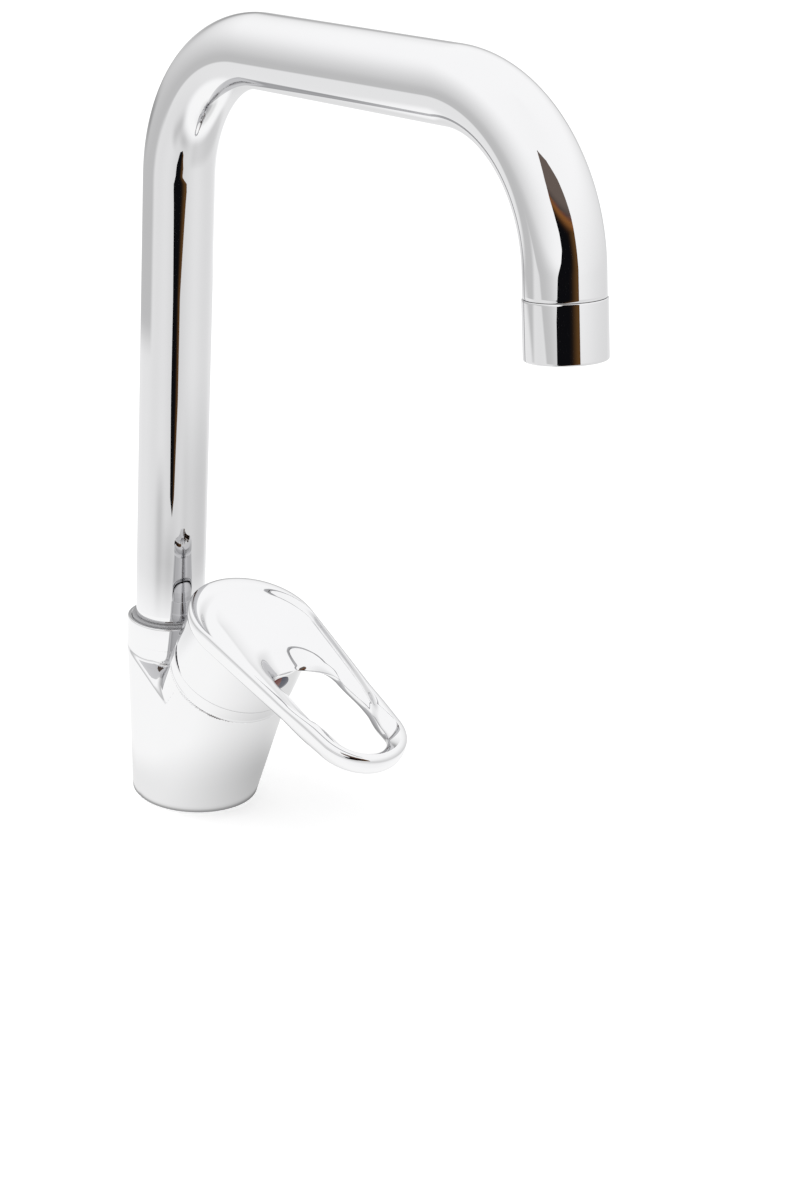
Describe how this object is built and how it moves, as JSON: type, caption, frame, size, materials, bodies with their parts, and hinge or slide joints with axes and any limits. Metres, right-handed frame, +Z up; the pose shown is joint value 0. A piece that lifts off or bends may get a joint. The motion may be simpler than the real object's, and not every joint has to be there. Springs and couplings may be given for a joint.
{
  "type": "single-lever kitchen mixer tap",
  "caption": "Single-lever kitchen mixer with a U-shaped swivel spout, a tilted cartridge head, a loop lever and an aerated outlet.",
  "frame": {"origin": "mouth of the stud hole in the middle of the underside, on the deck plane", "axes": "+Z up from the deck, +X forward towards the lever's tip and, at rest, the spout's outlet"},
  "size_m": [0.2583, 0.052, 0.3319],
  "materials": {
    "chrome": "polished",
    "brass": "satin",
    "steel": "satin",
    "rubber": "matte",
    "plastic": "matte",
    "ceramic": "satin",
    "button": "gloss"
  },
  "bodies": {
    "body": {"body_casting": "chrome", "base_seal": "rubber", "cover_ring": "chrome", "cartridge_nut": "brass", "cartridge_housing": "plastic", "cartridge_base": "plastic", "port_seals": "rubber", "fixed_disc": "ceramic", "spout_slide_ring": "plastic", "spout_lower_bush": "plastic", "spout_stop_screw": "steel"},
    "spout": {"spout_tube": "chrome", "spout_foot": "brass", "spout_o_rings": "rubber", "outlet_nipple": "brass", "outlet_sleeve": "chrome", "aerator_seal": "rubber", "aerator_cage": "plastic", "flow_straightener": "plastic"},
    "swing": {"rotor": "plastic", "stem_pin": "steel"},
    "lever": {"lever_handle": "chrome", "lever_set_screw": "steel", "indicator_button": "button", "stem": "steel"},
    "disc": {"moving_disc": "ceramic", "disc_carrier": "plastic"}
  },
  "joints": [
    {"name": "spout_swivel", "type": "hinge", "parent": "body", "child": "spout", "pos_m": [-0.0213, 0, 0.1], "axis": [0, 0, 1], "range_deg": [-70, 70]},
    {"name": "lever_swing", "type": "hinge", "parent": "body", "child": "swing", "pos_m": [0.0218, 0, 0.059], "axis": [0.4879, 0, 0.8729], "range_deg": [-45, 45]},
    {"name": "lever_lift", "type": "hinge", "parent": "swing", "child": "lever", "pos_m": [0.02668, 0, 0.06773], "axis": [0, -1, 0], "range_deg": [0, 20]},
    {"name": "disc_slide", "type": "slide", "parent": "swing", "child": "disc", "axis": [0.8729, 0, -0.4879], "range_m": [0, 0.0043]}
  ],
  "couplings": [
    {"joint": "disc_slide", "follows": "lever_lift", "m_per_rad": 0.01156}
  ]
}
